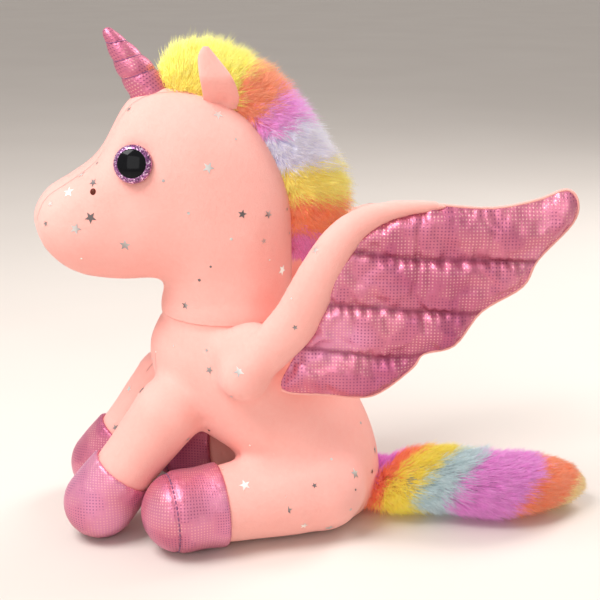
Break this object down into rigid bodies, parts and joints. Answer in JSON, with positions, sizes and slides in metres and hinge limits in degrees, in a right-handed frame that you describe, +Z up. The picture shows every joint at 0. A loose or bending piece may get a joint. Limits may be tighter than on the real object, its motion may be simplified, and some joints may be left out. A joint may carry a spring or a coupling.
{
  "type": "plush unicorn toy",
  "caption": "Sitting stuffed unicorn toy with foil horn, hooves and quilted wings, banded long-pile mane and tail, and limbs that bend at their seams.",
  "frame": {"origin": "centre of the flat seat face, on the floor", "axes": "+Z up, the toy faces -Y, its left side is +X"},
  "size_m": [0.1382, 0.2996, 0.2701],
  "materials": {
    "plush_cloth": "short brushed pink plush with scattered silver foil stars",
    "ear_lining_cloth": "short brushed coral plush",
    "fibre_filling": "loose white polyester fibre",
    "foil_cloth": "mauve cloth with small metallic foil dots",
    "sewing_thread": "twisted polyester thread",
    "eye_black": "gloss",
    "eye_glitter": "purple glitter",
    "eye_clear": "clear polished",
    "eye_fixing": "moulded white",
    "nostril_brown": "satin",
    "fur_pile": "long soft pile in bands of yellow, orange, pink, violet and pale blue",
    "fur_backing": "knitted backing of the pile"
  },
  "bodies": {
    "torso": {"torso_side_left": "plush_cloth", "torso_side_right": "plush_cloth", "belly_gusset": "plush_cloth", "torso_stuffing": "fibre_filling", "neck_seam_thread": "sewing_thread"},
    "head": {"head_side_left": "plush_cloth", "head_side_right": "plush_cloth", "head_gusset": "plush_cloth", "head_stuffing": "fibre_filling", "horn_foil": "foil_cloth", "horn_stuffing": "fibre_filling", "horn_thread": "sewing_thread", "eye_shank_left": "eye_fixing", "eye_iris_left": "eye_glitter", "eye_pupil_left": "eye_black", "eye_dome_left": "eye_clear", "eye_washer_left": "eye_fixing", "eye_shank_right": "eye_fixing", "eye_iris_right": "eye_glitter", "eye_pupil_right": "eye_black", "eye_dome_right": "eye_clear", "eye_washer_right": "eye_fixing", "nostril_left": "nostril_brown", "nostril_right": "nostril_brown", "mane_backing": "fur_backing", "mane_pile": "fur_pile"},
    "ear_left": {"ear_outer_left": "plush_cloth", "ear_lining_left": "ear_lining_cloth"},
    "ear_right": {"ear_outer_right": "plush_cloth", "ear_lining_right": "ear_lining_cloth"},
    "wing_left": {"wing_arm_left": "plush_cloth", "wing_arm_stuffing_left": "fibre_filling", "wing_foil_left": "foil_cloth", "wing_backing_left": "plush_cloth", "wing_wadding_left": "fibre_filling"},
    "wing_right": {"wing_arm_right": "plush_cloth", "wing_arm_stuffing_right": "fibre_filling", "wing_foil_right": "foil_cloth", "wing_backing_right": "plush_cloth", "wing_wadding_right": "fibre_filling"},
    "front_leg_left": {"front_leg_skin_left": "plush_cloth", "front_hoof_left": "foil_cloth", "front_leg_stuffing_left": "fibre_filling"},
    "front_leg_right": {"front_leg_skin_right": "plush_cloth", "front_hoof_right": "foil_cloth", "front_leg_stuffing_right": "fibre_filling"},
    "hind_leg_left": {"hind_leg_skin_left": "plush_cloth", "hind_hoof_left": "foil_cloth", "hind_leg_stuffing_left": "fibre_filling"},
    "hind_leg_right": {"hind_leg_skin_right": "plush_cloth", "hind_hoof_right": "foil_cloth", "hind_leg_stuffing_right": "fibre_filling"},
    "tail": {"tail_pile": "fur_pile", "tail_backing": "fur_backing"}
  },
  "joints": [
    {"name": "head_turn", "type": "hinge", "parent": "torso", "child": "head", "pos_m": [0, -0.052, 0.124], "axis": [0, 0, 1], "range_deg": [-20, 20], "stiffness_Nm_per_rad": 1},
    {"name": "ear_left_fold", "type": "hinge", "parent": "head", "child": "ear_left", "pos_m": [0.02, -0.054, 0.232], "axis": [0, 1, 0], "range_deg": [-5, 30], "stiffness_Nm_per_rad": 0.02},
    {"name": "ear_right_fold", "type": "hinge", "parent": "head", "child": "ear_right", "pos_m": [-0.02, -0.054, 0.232], "axis": [0, -1, 0], "range_deg": [-5, 30], "stiffness_Nm_per_rad": 0.02},
    {"name": "wing_left_flap", "type": "hinge", "parent": "torso", "child": "wing_left", "pos_m": [0.047, -0.046, 0.097], "axis": [0, -0.35, -0.9367], "range_deg": [0, 60], "stiffness_Nm_per_rad": 0.5},
    {"name": "wing_right_flap", "type": "hinge", "parent": "torso", "child": "wing_right", "pos_m": [-0.047, -0.046, 0.097], "axis": [0, 0.622, 0.783], "range_deg": [0, 60], "stiffness_Nm_per_rad": 0.5},
    {"name": "front_leg_left_swing", "type": "hinge", "parent": "torso", "child": "front_leg_left", "pos_m": [0.025, -0.086, 0.07], "axis": [-1, 0, 0], "range_deg": [0, 25], "stiffness_Nm_per_rad": 1.5},
    {"name": "front_leg_right_swing", "type": "hinge", "parent": "torso", "child": "front_leg_right", "pos_m": [-0.025, -0.086, 0.07], "axis": [-1, 0, 0], "range_deg": [0, 25], "stiffness_Nm_per_rad": 1.5},
    {"name": "hind_leg_left_splay", "type": "hinge", "parent": "torso", "child": "hind_leg_left", "pos_m": [0.032, -0.004, 0.0259], "axis": [0, 0, 1], "range_deg": [0, 20], "stiffness_Nm_per_rad": 1},
    {"name": "hind_leg_right_splay", "type": "hinge", "parent": "torso", "child": "hind_leg_right", "pos_m": [-0.032, -0.004, 0.0259], "axis": [0, 0, -1], "range_deg": [0, 20], "stiffness_Nm_per_rad": 1},
    {"name": "tail_swing", "type": "hinge", "parent": "torso", "child": "tail", "pos_m": [0, 0.037, 0.017], "axis": [0, 0, 1], "range_deg": [-8, 55], "stiffness_Nm_per_rad": 0.2}
  ]
}
